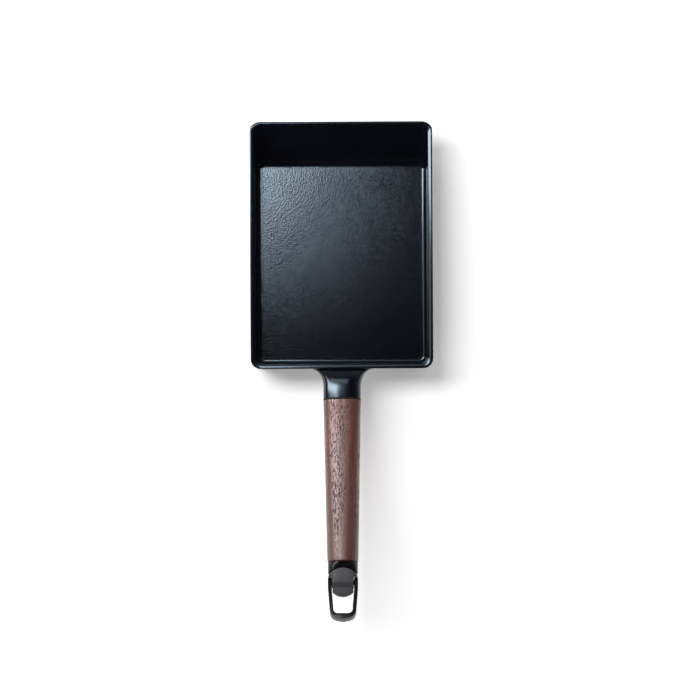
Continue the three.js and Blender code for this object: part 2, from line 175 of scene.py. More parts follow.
# Stage and camera; the table's white fades between two distances in metres
TABLE_HALF = 4000.0
TABLE_DROP = 0.1
TABLE_WHITE = 0.85
TABLE_SEEN_NEAR = 1.36
TABLE_SEEN_FAR = 1.75
TABLE_FADE = (0.2, 0.45)
TABLE_LIFT = 0.13
CAMERA_PLACE = (6.47, -69.87, 1600.0)
CAMERA_TURN = math.radians(-0.3)
CAMERA_LENS = 100.5
CAMERA_SENSOR = 36.0

# The rim is measured half a wall below its top, and the walls lean out from a base centred on the origin.
# The far corners inside are round enough to take the far wall's fillet.
WALL_HEIGHT = RIM_HEIGHT - WALL / 2
BASE_SHIFT = WALL_HEIGHT * (math.tan(FAR_SLOPE) - math.tan(NEAR_DRAFT))
RIM_NEAR = -(RIM_LENGTH - BASE_SHIFT) / 2
RIM_FAR = RIM_NEAR + RIM_LENGTH - SHY
FAR_CORNER = max(INNER_CORNER, FAR_FILLET * math.tan((math.pi / 2 - FAR_SLOPE) / 2) + CORNER_SPARE)

# Distances out along the handle, from the grip's front face
NECK_FACE = -(GASKET + 2 * FIT)
FERRULE_START = GRIP_LENGTH + FIT
PIVOT = FERRULE_START + FERRULE_BACK + FIT + KNOB_REACH
KNOB_BACK_CENTRE = PIVOT - KNOB_REACH + KNOB_BACK
POCKET_BACK = PIVOT - RING_DEPTH / 2 - SWING

# The ring's legs stand off the knob by a washer, and the ferrule's cradle follows the knob's back
RING_INNER = KNOB_WIDTH / 2 + WASHER_THICKNESS + 2 * SLIP
RING_OUTER = RING_INNER + RING_BAR
RING_TIP = RING_TIP_WIDTH / 2
TAPER_START = WASHER_DIAMETER / 2 + SLIP
CRADLE = KNOB_BACK + FIT
FERRULE_FRONT = KNOB_BACK_CENTRE - math.sqrt(CRADLE ** 2 - (RING_OUTER - FERRULE_HORN) ** 2)

# The frames of the handle, of the ring's pivot and of the ring
HANDLE = Matrix.Translation((0, (RIM_NEAR - NECK_REACH) * MM, (RIM_HEIGHT - JOINT_BELOW_RIM) * MM))
HANDLE = HANDLE @ Matrix.Rotation(-HANDLE_RISE, 4, "X")
PIVOT_FRAME = HANDLE @ Matrix.Translation((0, -PIVOT * MM, 0))
RING = PIVOT_FRAME @ Matrix.Rotation(-RING_LIFT, 4, "X")


def lerp(a, b, share):
    return a + (b - a) * share


def smoothstep(value, low=0.0, high=1.0):
    share = np.clip((value - low) / (high - low), 0.0, 1.0)
    return share * share * (3 - 2 * share)


# Mesh making

def new_object(name, points, faces, matrix=None):
    """A mesh object from points in millimetres, in the frame that the matrix gives."""
    mesh = bpy.data.meshes.new(name)
    mesh.from_pydata([tuple(float(c) * MM for c in point) for point in points], [], faces)
    made = bpy.data.objects.new(name, mesh)
    if matrix is not None:
        made.matrix_world = matrix
    bpy.context.scene.collection.objects.link(made)
    return made


def weld(made):
    """Joins the points that lie on each other, and drops the faces that this closes up."""
    work = bmesh.new()
    work.from_mesh(made.data)
    bmesh.ops.remove_doubles(work, verts=work.verts, dist=WELD_METRES)
    bmesh.ops.dissolve_degenerate(work, edges=work.edges, dist=WELD_METRES / 10)
    bmesh.ops.recalc_face_normals(work, faces=work.faces)
    work.to_mesh(made.data)
    work.free()


def closed_mesh(name, points, faces, matrix=None):
    """A mesh object with its points welded and its faces turned outwards."""
    made = new_object(name, points, faces, matrix)
    weld(made)
    return made


def skin(rows, count):
    """Faces over rows of points, each row closed round."""
    faces = []
    for row in range(rows - 1):
        for i in range(count):
            a = row * count + i
            b = row * count + (i + 1) % count
            faces.append((a, b, b + count, a + count))
    return faces


def loft(name, rings, matrix=None):
    """A skin over rings of equal point counts, with a fan over each end."""
    count = len(rings[0])
    points = [point for ring in rings for point in ring]
    faces = skin(len(rings), count)
    first = len(points)
    points += [np.mean(rings[0], axis=0), np.mean(rings[-1], axis=0)]
    last_row = (len(rings) - 1) * count
    for i in range(count):
        after = (i + 1) % count
        faces.append((first, after, i))
        faces.append((first + 1, last_row + i, last_row + after))
    return closed_mesh(name, points, faces, matrix)


def lay(u, v, w):
    """Lays an outline flat, with its second axis out along the handle."""
    return (u, -v, w)


def stand(u, v, w):
    """Stands an outline on edge, with its first axis out along the handle."""
    return (w, -u, v)


def prism(name, points, depth, place, matrix):
    """A closed outline, placed by a function and drawn out to both sides of its plane by half the depth."""
    count = len(points)
    corners = [place(u, v, side * depth / 2) for side in (-1, 1) for u, v in points]
    faces = [tuple(range(count - 1, -1, -1)), tuple(range(count, 2 * count))]
    faces += [(i, (i + 1) % count, count + (i + 1) % count, count + i) for i in range(count)]
    return closed_mesh(name, corners, faces, matrix)


def circle(radius, steps):
    """Points of a circle about the origin."""
    turns = [2 * math.pi * step / steps for step in range(steps)]
    return [(radius * math.cos(turn), radius * math.sin(turn)) for turn in turns]


def mirrored(points):
    """An outline's points on the other side of its second axis, in the opposite order."""
    return [(-x, y) for x, y in reversed(points)]


def bar_along(radius, start, end, below=0.0):
    """A round bar along the handle, between two distances out from the grip's front face."""
    round_section = circle(radius, BAR_STEPS)
    rings = [[(x, -distance, z - below) for x, z in round_section] for distance in (start, end)]
    return loft("bar_along", rings, HANDLE)


def bar_across(radius, reach, matrix):
    """A round bar along X, through the origin of the frame that the matrix gives."""
    round_section = circle(radius, BAR_STEPS)
    rings = [[(x, y, z) for y, z in round_section] for x in (-reach, reach)]
    return loft("bar_across", rings, matrix)


def settle(made):
    """Applies the object's modifiers to its mesh."""
    graph = bpy.context.evaluated_depsgraph_get()
    mesh = bpy.data.meshes.new_from_object(made.evaluated_get(graph))
    made.modifiers.clear()
    made.data = mesh


def combine(made, tool, operation):
    """Joins, cuts or intersects an object with a tool, which is then gone."""
    change = made.modifiers.new("combine", "BOOLEAN")
    change.object = tool
    change.operation = operation
    change.solver = "EXACT"
    settle(made)
    bpy.data.objects.remove(tool)


def smooth(made, angle):
    """Shades an object smoothly, except over edges sharper than the angle."""
    made.data.polygons.foreach_set("use_smooth", [True] * len(made.data.polygons))
    made.data.set_sharp_from_angle(angle=math.radians(angle))


def round_edges(made, width):
    """Rounds the sharp edges of an object by a small radius."""
    bevel = made.modifiers.new("edges", "BEVEL")
    bevel.width = width * MM
    bevel.segments = EDGE_SEGMENTS
    bevel.limit_method = "ANGLE"
    bevel.angle_limit = math.radians(EDGE_ANGLE)
    bevel.use_clamp_overlap = True
    settle(made)


# The casting: tub and neck

def outline(half_width, near, far, near_radius, far_radius):
    """Points of a rounded rectangle and the way each faces, anticlockwise from the far right corner."""
    corners = [
        (half_width - far_radius, far - far_radius, far_radius),
        (far_radius - half_width, far - far_radius, far_radius),
        (near_radius - half_width, near + near_radius, near_radius),
        (half_width - near_radius, near + near_radius, near_radius),
    ]
    points, angles = [], []
    for index, (x, y, radius) in enumerate(corners):
        for step in range(CORNER_STEPS + 1):
            angle = (index + step / CORNER_STEPS) * math.pi / 2
            points.append((x + radius * math.cos(angle), y + radius * math.sin(angle)))
            angles.append(angle)
        next_x, next_y, next_radius = corners[(index + 1) % 4]
        end = (index + 1) * math.pi / 2
        start_point = np.array(points[-1])
        end_point = np.array((next_x + next_radius * math.cos(end), next_y + next_radius * math.sin(end)))
        steps = LONG_STEPS if index % 2 else SHORT_STEPS
        for step in range(1, steps):
            points.append(tuple(lerp(start_point, end_point, step / steps)))
            angles.append(end)
    return np.array(points), np.array(angles)


def fillet_rings(edge, angles, edge_height, lean, radius):
    """Rings of an arc from a level surface to a leaning wall, tangent to both, all round an outline."""
    level = np.column_stack([-np.cos(angles), -np.sin(angles), np.zeros(len(angles))])
    wall = np.column_stack([np.cos(angles) * np.sin(lean), np.sin(angles) * np.sin(lean), np.cos(lean)])
    corner = np.column_stack([edge, np.full(len(edge), edge_height)])
    opening = np.arccos(np.clip(np.sum(level * wall, axis=1), -1, 1))
    tangent = (radius / np.tan(opening / 2))[:, None]
    weight = np.sin(opening / 2)[:, None]
    start = corner + level * tangent
    end = corner + wall * tangent
    rings = []
    for step in range(FILLET_STEPS + 1):
        u = step / FILLET_STEPS
        shares = ((1 - u) ** 2, 2 * u * (1 - u) * weight, u * u)
        rings.append((start * shares[0] + corner * shares[1] + end * shares[2]) / sum(shares))
    return rings


def lean_of(angles):
    """How far the wall leans out, by the way it faces: the far wall slopes, and the others hardly lean."""
    across, along = np.cos(angles), np.sin(angles)
    slope = np.where(along > 0, math.tan(FAR_SLOPE), math.tan(NEAR_DRAFT))
    return np.arctan(np.abs(across) * math.tan(SIDE_DRAFT) + np.abs(along) * slope)


def collapse(ring, steps):
    """Rings that shrink from an outline onto its middle line, for a closed flat face."""
    low, high = ring.min(axis=0), ring.max(axis=0)
    middle = (low + high) / 2
    spare = (high[1] - low[1] - high[0] + low[0]) / 2
    target = ring.copy()
    target[:, 0] = middle[0]
    target[:, 1] = np.clip(ring[:, 1], middle[1] - spare, middle[1] + spare)
    return [lerp(ring, target, step / steps) for step in range(1, steps + 1)]


def grain(x, y):
    """Height of the cast surface at a place on the cooking floor, from about -1 to 1."""
    coarse = noise.noise(Vector((x / GRAIN_COARSE, y / GRAIN_COARSE, 0.0)))
    fine = noise.noise(Vector((x / GRAIN_FINE, y / GRAIN_FINE, GRAIN_FINE_LAYER)))
    return GRAIN_COARSE_SHARE * coarse + GRAIN_FINE_SHARE * fine


def rim_profile(angles):
    """The rim's section, from the outside to the inside: a tight edge, then a crown that falls inwards.

    Gives, for each step, the distance in from the outside and the height, all round the outline.
    """
    edge = lerp(RIM_EDGE, RIM_FAR_EDGE, smoothstep(np.sin(angles)))
    lip = RIM_LIP * (1 - math.sin(RIM_FALL))
    crown = WALL - edge - lip
    radius = crown / math.sin(RIM_FALL)
    steps = []
    for step in range(RIM_STEPS):
        turn = math.pi / 2 * step / RIM_STEPS
        steps.append((edge * (1 - math.cos(turn)), RIM_HEIGHT - edge * (1 - math.sin(turn))))
    for step in range(RIM_STEPS):
        fall = RIM_FALL * step / RIM_STEPS
        steps.append((edge + radius * math.sin(fall), RIM_HEIGHT - radius * (1 - math.cos(fall))))
    start = RIM_HEIGHT - radius * (1 - math.cos(RIM_FALL))
    for step in range(RIM_STEPS + 1):
        fall = lerp(RIM_FALL, math.pi / 2, step / RIM_STEPS)
        inward = edge + crown + RIM_LIP * (math.sin(fall) - math.sin(RIM_FALL))
        steps.append((inward, start - RIM_LIP * (math.cos(RIM_FALL) - math.cos(fall))))
    return steps


def wall_outline(margin, radius, height, far_radius=None):
    """The tub's outline at a height, in from the outside by a margin."""
    drop = WALL_HEIGHT - height
    return outline(
        RIM_WIDTH / 2 - margin - drop * math.tan(SIDE_DRAFT),
        RIM_NEAR + margin + drop * math.tan(NEAR_DRAFT),
        RIM_FAR - margin - drop * math.tan(FAR_SLOPE),
        radius,
        far_radius or radius,
    )


def tub():
    """The tub as one skin: base, outside, rim, inside and the grained cooking floor."""
    outer, angles = wall_outline(0, RIM_CORNER, WALL_HEIGHT)
    inner, _ = wall_outline(WALL, INNER_CORNER, WALL_HEIGHT)
    base, _ = wall_outline(0, RIM_CORNER, 0)
    floor, _ = wall_outline(WALL, INNER_CORNER, FLOOR, FAR_CORNER)
    lean = lean_of(angles)
    outside = fillet_rings(base, angles, 0, lean, np.full(len(angles), BASE_FILLET))
    inside_radius = lerp(FLOOR_FILLET, FAR_FILLET, smoothstep(np.sin(angles)))
    inside = fillet_rings(floor, angles, FLOOR, lean, inside_radius)

    rings = list(reversed(collapse(outside[0], BASE_STEPS)))
    rings += outside
    # How far the outlines move with each millimetre of height
    outer_drift = wall_outline(0, RIM_CORNER, WALL_HEIGHT + 1)[0] - outer
    inner_drift = wall_outline(WALL, INNER_CORNER, WALL_HEIGHT + 1)[0] - inner
    for inward, height in rim_profile(angles):
        rise = (height - WALL_HEIGHT)[:, None]
        share = (inward / WALL)[:, None]
        flat = lerp(outer + outer_drift * rise, inner + inner_drift * rise, share)
        rings.append(np.column_stack([flat, height]))
    rings += list(reversed(inside))
    for step, ring in enumerate(collapse(inside[0], FLOOR_STEPS), start=1):
        fade = float(smoothstep(step, 0, GRAIN_FADE_STEPS))
        raised = ring.copy()
        raised[:, 2] += [GRAIN_HEIGHT * fade * grain(x, y) for x, y, _ in ring]
        rings.append(raised)
    return closed_mesh("pan_shell", np.concatenate(rings), skin(len(rings), len(angles)))


def section(centre, up, width, thickness, squareness, count=SECTION_POINTS):
    """A closed section with flattened sides: squareness 2 is an ellipse, and more is squarer."""
    turns = np.arange(count) * 2 * math.pi / count
    across = width / 2 * np.sign(np.cos(turns)) * np.abs(np.cos(turns)) ** (2 / squareness)
    above = thickness / 2 * np.sign(np.sin(turns)) * np.abs(np.sin(turns)) ** (2 / squareness)
    return np.column_stack([centre[0] + across, centre[1] + above * up[1], centre[2] + above * up[2]])


def heading(rise):
    """The way out along the handle that climbs at an angle."""
    return np.array([0, -math.cos(rise), math.sin(rise)])


def neck_path():
    """The neck's middle line, from the middle of the near wall to the face that the grip clamps on."""
    root_height = RIM_HEIGHT - NECK_ROOT_BELOW_RIM
    root_place = RIM_NEAR + WALL / 2 + (WALL_HEIGHT - root_height) * math.tan(NEAR_DRAFT)
    start = np.array([0, root_place, root_height])
    end = np.array(HANDLE @ Vector((0, -NECK_FACE * MM, 0))) / MM
    front_rise = HANDLE_RISE - math.atan(4 * GRIP_SAG / GRIP_LENGTH)
    span = np.linalg.norm(end - start)
    control = [
        start,
        start + NECK_ROOT_PULL * span * heading(NECK_ROOT_RISE),
        end - NECK_JOINT_PULL * span * heading(front_rise),
        end,
    ]
    shares = np.linspace(0, 1, PATH_STEPS)[:, None]
    return (
        control[0] * (1 - shares) ** 3
        + control[1] * 3 * shares * (1 - shares) ** 2
        + control[2] * 3 * shares ** 2 * (1 - shares)
        + control[3] * shares ** 3
    )


def flare(distance, radius):
    """How far a fillet of this radius stands out, at a distance from the wall that it grows out of."""
    rest = max(0.0, radius - max(0.0, distance))
    return radius - math.sqrt(radius * radius - rest * rest)


def neck():
    """The neck: a bent bar that flares out of the near wall and ends square to the handle.

    The flare is shifted by a hair, so that it crosses the wall at an angle and doesn't graze it.
    """
    path = neck_path()
    run = np.concatenate([[0], np.cumsum(np.linalg.norm(np.diff(path, axis=0), axis=1))])
    in_wall = WALL / 2
    clear = run[-1] - in_wall
    side = min(NECK_SIDE_FILLET, NECK_FLARE_SHARE * clear)
    distances = [-in_wall]
    distances += [side * (1 - math.cos(math.pi / 2 * step / FLARE_STEPS)) for step in range(FLARE_STEPS + 1)]
    distances += [lerp(side, clear, step / NECK_STEPS) for step in range(1, NECK_STEPS + 1)]
    rings = []
    for distance in distances:
        along = min(1.0, (distance + in_wall) / run[-1])
        lean = lerp(-NEAR_DRAFT, HANDLE_RISE, float(smoothstep(along)))
        up = (0, math.sin(lean), math.cos(lean))
        centre = [np.interp(along * run[-1], run, path[:, axis]) for axis in range(3)]
        out = distance + NECK_FLARE_SHIFT
        width = FRONT_WIDTH + 2 * flare(out, side)
        thickness = lerp(NECK_WAIST, FRONT_THICKNESS, along) + 2 * flare(out, NECK_TOP_FILLET)
        rings.append(section(centre, up, width, thickness, FRONT_SQUARENESS, NECK_POINTS))
    return loft("neck", rings)


def pan_shell():
    """The casting, with the sockets for the rod and the dowel in the end of its neck."""
    made = tub()
    combine(made, neck(), "UNION")
    socket = bar_along(ROD_RADIUS + FIT, NECK_FACE - ROD_IN_NECK - FIT, OVERCUT)
    combine(made, socket, "DIFFERENCE")
    dowel_hole = bar_along(DOWEL_RADIUS + FIT, NECK_FACE - DOWEL_IN_NECK - FIT, OVERCUT, DOWEL_BELOW_ROD)
    combine(made, dowel_hole, "DIFFERENCE")
    smooth(made, angle=40)
    return made


# Grip

def grip_section(share, margin=0.0):
    """The grip's section at a share of its length, smaller all round by a margin."""
    dip = 4 * GRIP_SAG * share * (1 - share)
    return section(
        (0, -GRIP_LENGTH * share, -dip),
        (0, 0, 1),
        lerp(FRONT_WIDTH, REAR_WIDTH, share) - 2 * margin,
        lerp(FRONT_THICKNESS, REAR_THICKNESS, share) - 2 * margin,
        lerp(FRONT_SQUARENESS, REAR_SQUARENESS, share),
    )


def walnut_grip():
    """The grip: a tapered, gently hollow-backed bar whose section turns from squarish to round."""
    rings = []
    for step in reversed(range(FRONT_STEPS)):
        turn = math.pi / 2 * step / FRONT_STEPS
        share = FRONT_ROUND * (1 - math.sin(turn)) / GRIP_LENGTH
        rings.append(grip_section(share, FRONT_ROUND * (1 - math.cos(turn))))
    for step in range(1, GRIP_STEPS + 1):
        distance = lerp(FRONT_ROUND, GRIP_LENGTH - EDGE_ROUND, step / GRIP_STEPS)
        rings.append(grip_section(distance / GRIP_LENGTH))
    for step in range(1, REAR_STEPS + 1):
        turn = math.pi / 2 * step / REAR_STEPS
        share = 1 - EDGE_ROUND * (1 - math.sin(turn)) / GRIP_LENGTH
        rings.append(grip_section(share, EDGE_ROUND * (1 - math.cos(turn))))
    made = loft("walnut_grip", rings, HANDLE)
    rod_bore = bar_along(ROD_RADIUS + FIT, -OVERCUT, GRIP_LENGTH + OVERCUT)
    combine(made, rod_bore, "DIFFERENCE")
    dowel_hole = bar_along(DOWEL_RADIUS + FIT, -OVERCUT, DOWEL_IN_GRIP + FIT, DOWEL_BELOW_ROD)
    combine(made, dowel_hole, "DIFFERENCE")
    smooth(made, angle=40)
    return made


# Ferrule, knob and ring

def ferrule():
    """The ferrule: a cap with a rounded lip, hollowed to a cradle for the knob."""
    rear = (REAR_WIDTH - EDGE_ROUND, REAR_THICKNESS - EDGE_ROUND)
    front = (2 * RING_OUTER, KNOB_HEIGHT + EDGE_ROUND)

    def front_at(x):
        """How far out the front lies: the horns are flat, and the cradle follows the knob's back."""
        hollow = np.sqrt(np.maximum(0, CRADLE * CRADLE - x * x))
        return np.minimum(FERRULE_FRONT, KNOB_BACK_CENTRE - hollow)

    def ring(share, inset):
        """The section at a share of the way to the front, smaller all round by an inset."""
        squareness = lerp(REAR_SQUARENESS, KNOB_SQUARENESS, share)
        flat = section((0, 0, 0), (0, 0, 1), front[0] - 2 * inset, front[1] - 2 * inset, squareness)
        end = front_at(flat[:, 0])
        if inset < FERRULE_LIP:
            end = end - (FERRULE_LIP - math.sqrt(FERRULE_LIP * FERRULE_LIP - (FERRULE_LIP - inset) ** 2))
        wide = lerp(rear[0] / front[0], 1, share)
        tall = lerp(rear[1] / front[1], 1, share)
        y = -lerp(FERRULE_START, end, share)
        return np.column_stack([flat[:, 0] * wide, y, flat[:, 2] * tall])

    rings = [ring(share, 0) for share in np.linspace(0, 1, FERRULE_STEPS + 1)]
    for step in range(1, LIP_STEPS + 1):
        rings.append(ring(1, FERRULE_LIP * (1 - math.cos(math.pi / 2 * step / LIP_STEPS))))
    deepest = front[1] / 2 - FERRULE_CORE
    for step in range(1, CRADLE_STEPS + 1):
        rings.append(ring(1, lerp(FERRULE_LIP, deepest, step / CRADLE_STEPS)))
    made = loft("end_ferrule_cap", rings, HANDLE)
    combine(made, bar_along(ROD_RADIUS + FIT, GRIP_LENGTH - OVERCUT, PIVOT), "DIFFERENCE")
    smooth(made, angle=40)
    return made


def knob():
    """The knob: a round-shouldered cap that slopes down to a round-ended tongue between the ring's legs."""
    start = PIVOT - 2 * KNOB_REACH
    shoulder = section((0, 0, 0), (0, 0, 1), 2 * RING_OUTER, KNOB_HEIGHT, KNOB_SQUARENESS)
    rings = [shoulder + np.array([0, -distance, 0]) for distance in (start, PIVOT + 2 * KNOB_REACH)]
    made = loft("end_knob_cap", rings, HANDLE)
    drum = [(x, KNOB_BACK_CENTRE + y) for x, y in circle(KNOB_BACK, DRUM_STEPS)]
    tongue = KNOB_WIDTH / 2
    wide = RING_OUTER + OVERCUT
    above = [(tongue, POCKET_BACK), (wide, POCKET_BACK), (wide, start)]
    above += mirrored(above)
    end_turn = math.acos(tongue / KNOB_REACH)
    for step in range(TONGUE_STEPS + 1):
        turn = lerp(math.pi - end_turn, end_turn, step / TONGUE_STEPS)
        above.append((KNOB_REACH * math.cos(turn), PIVOT + KNOB_REACH * math.sin(turn)))
    slope = PIVOT + KNOB_CAP_REACH
    side = [(start, KNOB_HEIGHT), (slope, KNOB_HEIGHT), (slope, KNOB_HEIGHT / 2)]
    side += [(slope + KNOB_SLOPE, KNOB_TONGUE / 2), (PIVOT + KNOB_REACH + OVERCUT, KNOB_TONGUE / 2)]
    side += [(distance, -height) for distance, height in reversed(side)]
    combine(made, prism("drum", drum, TOOL_DEPTH * KNOB_HEIGHT, lay, HANDLE), "INTERSECT")
    combine(made, prism("above", above, TOOL_DEPTH * KNOB_HEIGHT, lay, HANDLE), "INTERSECT")
    combine(made, prism("side", side, TOOL_DEPTH * RING_OUTER, stand, HANDLE), "INTERSECT")
    rod_end = PIVOT - KNOB_REACH + ROD_IN_KNOB + FIT
    combine(made, bar_along(ROD_RADIUS + FIT, start, rod_end), "DIFFERENCE")
    combine(made, bar_across(PIN_RADIUS + FIT, 2 * RING_OUTER, PIVOT_FRAME), "DIFFERENCE")
    round_edges(made, KNOB_EDGE)
    smooth(made, angle=30)
    return made


def bend(start, control, end):
    """Points of a quadratic bend after its start."""
    start, control, end = np.array(start), np.array(control), np.array(end)
    found = []
    for step in range(1, BEND_STEPS + 1):
        u = step / BEND_STEPS
        found.append(tuple(start * (1 - u) ** 2 + control * 2 * u * (1 - u) + end * u * u))
    return found


def hanging_ring():
    """The ring: a strap bent to a U, with rounded ends to its legs."""
    inner_end = RING_LENGTH - RING_BOW - RING_BAR
    inner_tip = RING_TIP - RING_BAR
    inner_radius = RING_CORNER - RING_BAR
    corner_start = RING_LENGTH - RING_CORNER - RING_BOW
    half = RING_DEPTH / 2
    inside = [(-RING_INNER, -half), (-RING_INNER, TAPER_START), (-inner_tip, inner_end - inner_radius)]
    inside += bend(inside[-1], (-inner_tip, inner_end), (inner_radius - inner_tip, inner_end))
    inside += mirrored(inside)
    leg = [(RING_OUTER, -half), (RING_OUTER, TAPER_START), (RING_TIP, corner_start)]
    leg_end = (RING_TIP - RING_CORNER, RING_LENGTH - RING_BOW / 2)
    leg += bend(leg[-1], (RING_TIP, RING_LENGTH - RING_BOW), leg_end)
    bow = bend(leg_end, (0, RING_LENGTH + RING_BOW / 2), (-leg_end[0], leg_end[1]))[:-1]
    outside = leg + bow + mirrored(leg)
    made = prism("strap_ring", inside + outside, 2 * RING_DEPTH, lay, RING)
    side = [(RING_LENGTH + OVERCUT, -half), (RING_LENGTH + OVERCUT, half)]
    for step in range(EYE_STEPS + 1):
        turn = math.pi * (0.5 + step / EYE_STEPS)
        side.append((half * math.cos(turn), half * math.sin(turn)))
    combine(made, prism("side", side, TOOL_DEPTH * RING_OUTER, stand, RING), "INTERSECT")
    combine(made, bar_across(PIN_RADIUS + FIT, 2 * RING_OUTER, RING), "DIFFERENCE")
    round_edges(made, RING_EDGE)
    smooth(made, angle=35)
    made.data.transform(RING)
    made.matrix_world = Matrix()
    return made


# Materials

class Shader:
    """A material's node tree, with a Principled shader and short calls for its other nodes."""

    def __init__(self, name):
        self.material = bpy.data.materials.new(name)
        self.material.use_nodes = True
        self.tree = self.material.node_tree
        self.surface = self.tree.nodes["Principled BSDF"]

    def node(self, kind, **settings):
        made = self.tree.nodes.new(kind)
        for name, value in settings.items():
            setattr(made, name, value)
        return made

    def link(self, source, target):
        self.tree.links.new(source, target)

    def feed(self, target, value):
        """Links an input to another node's output, or sets it to a constant."""
        if isinstance(value, bpy.types.NodeSocket):
            self.link(value, target)
        else:
            target.default_value = value

    def set(self, **values):
        """Feeds the Principled shader's inputs, whose names have underscores for spaces here."""
        for name, value in values.items():
            self.feed(self.surface.inputs[name.replace("_", " ")], value)

    def coordinates(self, scale=(1, 1, 1)):
        """The object's own coordinates, in metres, times a scale on each axis."""
        place = self.node("ShaderNodeTexCoord").outputs["Object"]
        mapping = self.node("ShaderNodeMapping")
        self.link(place, mapping.inputs["Vector"])
        mapping.inputs["Scale"].default_value = scale
        return mapping.outputs["Vector"]

    def axes(self, vector):
        """A vector's numbers, by the names X, Y and Z."""
        made = self.node("ShaderNodeSeparateXYZ")
        self.link(vector, made.inputs[0])
        return made.outputs

    def noise(self, vector, scale, detail=2.0, roughness=0.5, distortion=0.0):
        made = self.node("ShaderNodeTexNoise")
        self.link(vector, made.inputs["Vector"])
        made.inputs["Scale"].default_value = scale
        made.inputs["Detail"].default_value = detail
        made.inputs["Roughness"].default_value = roughness
        made.inputs["Distortion"].default_value = distortion
        return made.outputs["Fac"]

    def cells(self, vector, scale, smoothness):
        """Soft, pebble-like cells."""
        made = self.node("ShaderNodeTexVoronoi", feature="SMOOTH_F1")
        self.link(vector, made.inputs["Vector"])
        made.inputs["Scale"].default_value = scale
        made.inputs["Smoothness"].default_value = smoothness
        return made.outputs["Distance"]

    def math(self, operation, first, second, clamp=False):
        made = self.node("ShaderNodeMath", operation=operation, use_clamp=clamp)
        self.feed(made.inputs[0], first)
        self.feed(made.inputs[1], second)
        return made.outputs[0]

    def span(self, value, source, target=(0.0, 1.0)):
        """Eases a value from one range into another, and holds it at the ends."""
        made = self.node("ShaderNodeMapRange", interpolation_type="SMOOTHSTEP")
        self.link(value, made.inputs["Value"])
        for name, number in zip(("From Min", "From Max", "To Min", "To Max"), source + target):
            made.inputs[name].default_value = number
        return made.outputs["Result"]

    def mix(self, share, first, second):
        """Mixes two colours."""
        made = self.node("ShaderNodeMix", data_type="RGBA")
        self.feed(made.inputs["Factor"], share)
        self.feed(made.inputs["A"], first)
        self.feed(made.inputs["B"], second)
        return made.outputs["Result"]

    def blend(self, share, first, second):
        """Mixes two numbers."""
        made = self.node("ShaderNodeMix", data_type="FLOAT")
        self.link(share, made.inputs["Factor"])
        self.link(first, made.inputs["A"])
        self.link(second, made.inputs["B"])
        return made.outputs["Result"]

    def bump(self, height, distance, strength=1.0, before=None):
        made = self.node("ShaderNodeBump")
        made.inputs["Strength"].default_value = strength
        made.inputs["Distance"].default_value = distance
        self.link(height, made.inputs["Height"])
        if before is not None:
            self.link(before, made.inputs["Normal"])
        return made.outputs["Normal"]


def tint(red, green, blue):
    return (red, green, blue, 1.0)


def grey(level):
    return tint(level, level, level)


# The middle of a noise's values, where most of them lie
MIDDLE = (0.3, 0.7)


def enamel():
    """Black enamel on cast iron: satin on the walls, and grained on the cooking floor.

    The floor is told from the rest by its height over the base, in metres, and by how level it is.
    """
    shader = Shader("black_enamel")
    place = shader.coordinates()
    height = shader.axes(place)["Z"]
    facing_up = shader.axes(shader.node("ShaderNodeNewGeometry").outputs["Normal"])["Z"]
    near_floor = shader.span(height, (0.013, 0.006))
    level = shader.span(facing_up, (0.985, 0.999))
    on_floor = shader.math("MULTIPLY", near_floor, level)
    grains = shader.cells(place, scale=1050.0, smoothness=0.6)
    peel = shader.noise(place, scale=150.0, detail=1.0, roughness=0.4)
    cloud = shader.noise(place, scale=22.0, detail=3.0)
    floor_bump = shader.bump(shader.math("MULTIPLY", grains, on_floor), distance=0.00009)
    rough_wall = shader.span(cloud, MIDDLE, (0.15, 0.18))
    rough_floor = shader.span(cloud, MIDDLE, (0.15, 0.17))
    shader.set(
        Base_Color=shader.mix(cloud, tint(0.003, 0.0034, 0.006), tint(0.0042, 0.0046, 0.0078)),
        Roughness=shader.blend(on_floor, rough_wall, rough_floor),
        Normal=shader.bump(peel, distance=0.00002, before=floor_bump),
        IOR=1.6,
        Specular_Tint=tint(0.68, 0.85, 1.0),
    )
    return shader.material


